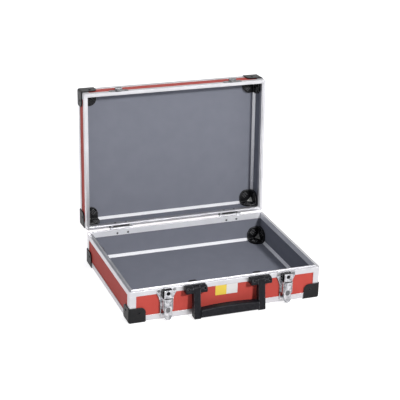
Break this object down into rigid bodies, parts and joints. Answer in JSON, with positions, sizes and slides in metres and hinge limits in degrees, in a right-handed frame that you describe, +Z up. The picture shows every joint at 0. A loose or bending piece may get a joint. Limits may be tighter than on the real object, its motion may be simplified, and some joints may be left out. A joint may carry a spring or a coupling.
{
  "type": "aluminium-framed carrying case",
  "caption": "Shallow aluminium-framed carrying case with red panels, black corner guards, a hinged lid, keyed latches and a drop handle on the front, standing open.",
  "frame": {"origin": "under the middle of the base, on the surface that the lower corner guards stand on", "axes": "+Z up, -Y out of the front with the handle and latches, +X to the right seen from the front"},
  "size_m": [0.3468, 0.3331, 0.3191],
  "materials": {
    "red_board": "satin",
    "grey_lining": "matte",
    "frame_aluminium": "satin",
    "black_plastic": "satin",
    "bright_steel": "polished",
    "dark_steel": "satin",
    "grey_zinc": "satin",
    "plain_steel": "brushed",
    "rivet_steel": "satin"
  },
  "bodies": {
    "base": {"base_back_panel": "red_board", "base_corner_caps": "black_plastic", "base_corner_guards": "black_plastic", "base_corner_posts": "frame_aluminium", "base_corner_rivets": "dark_steel", "base_edge_back": "frame_aluminium", "base_edge_front": "frame_aluminium", "base_edge_left": "frame_aluminium", "base_edge_right": "frame_aluminium", "base_fitting_rivets": "rivet_steel", "base_floor_panel": "red_board", "base_front_panel": "red_board", "base_left_panel": "red_board", "base_lining": "grey_lining", "base_right_panel": "red_board", "base_rim_back": "frame_aluminium", "base_rim_front": "frame_aluminium", "base_rim_left": "frame_aluminium", "base_rim_right": "frame_aluminium", "handle_backing_plates": "black_plastic", "handle_brackets": "black_plastic", "handle_pins": "plain_steel", "handle_screws": "dark_steel", "hinge_base_leaves": "plain_steel", "hinge_pins": "plain_steel", "latch_pins": "plain_steel", "latch_plate_left": "bright_steel", "latch_plate_right": "bright_steel"},
    "lid": {"hinge_lid_leaves": "plain_steel", "latch_keeper_left": "grey_zinc", "latch_keeper_right": "grey_zinc", "lid_back_panel": "red_board", "lid_corner_caps": "black_plastic", "lid_corner_guards": "black_plastic", "lid_corner_posts": "frame_aluminium", "lid_corner_rivets": "dark_steel", "lid_edge_back": "frame_aluminium", "lid_edge_front": "frame_aluminium", "lid_edge_left": "frame_aluminium", "lid_edge_right": "frame_aluminium", "lid_fitting_rivets": "rivet_steel", "lid_front_panel": "red_board", "lid_left_panel": "red_board", "lid_lining": "grey_lining", "lid_right_panel": "red_board", "lid_rim_back": "frame_aluminium", "lid_rim_front": "frame_aluminium", "lid_rim_left": "frame_aluminium", "lid_rim_right": "frame_aluminium", "lid_top_panel": "red_board"},
    "handle": {"handle_arms": "black_plastic", "handle_core": "plain_steel", "handle_grip": "black_plastic"},
    "lever_left": {"latch_lever_left": "bright_steel"},
    "catch_left": {"latch_catch_left": "plain_steel"},
    "plug_left": {"latch_plug_left": "dark_steel"},
    "lever_right": {"latch_lever_right": "bright_steel"},
    "catch_right": {"latch_catch_right": "plain_steel"},
    "plug_right": {"latch_plug_right": "dark_steel"}
  },
  "joints": [
    {"name": "lid_hinge", "type": "hinge", "parent": "base", "child": "lid", "pos_m": [0, 0.1282, 0.05875], "axis": [1, 0, 0], "range_deg": [0, 93]},
    {"name": "handle_swing", "type": "hinge", "parent": "base", "child": "handle", "pos_m": [0, -0.134, 0.054], "axis": [-1, 0, 0], "range_deg": [0, 95]},
    {"name": "lever_swing_left", "type": "hinge", "parent": "base", "child": "lever_left", "pos_m": [-0.1075, -0.1353, 0.041], "axis": [-1, 0, 0], "range_deg": [0, 95]},
    {"name": "catch_swing_left", "type": "hinge", "parent": "base", "child": "catch_left", "pos_m": [-0.1075, -0.1311, 0.024], "axis": [1, 0, 0], "range_deg": [0, 4.2]},
    {"name": "plug_turn_left", "type": "hinge", "parent": "base", "child": "plug_left", "pos_m": [-0.1075, -0.1365, 0.052], "axis": [0, -1, 0], "range_deg": [0, 90]},
    {"name": "lever_swing_right", "type": "hinge", "parent": "base", "child": "lever_right", "pos_m": [0.1075, -0.1353, 0.041], "axis": [-1, 0, 0], "range_deg": [0, 95]},
    {"name": "catch_swing_right", "type": "hinge", "parent": "base", "child": "catch_right", "pos_m": [0.1075, -0.1311, 0.024], "axis": [1, 0, 0], "range_deg": [0, 4.2]},
    {"name": "plug_turn_right", "type": "hinge", "parent": "base", "child": "plug_right", "pos_m": [0.1075, -0.1365, 0.052], "axis": [0, -1, 0], "range_deg": [0, 90]}
  ],
  "couplings": [
    {"joint": "catch_swing_left", "follows": "lever_swing_left", "ratio": 0.044211},
    {"joint": "catch_swing_right", "follows": "lever_swing_right", "ratio": 0.044211}
  ]
}
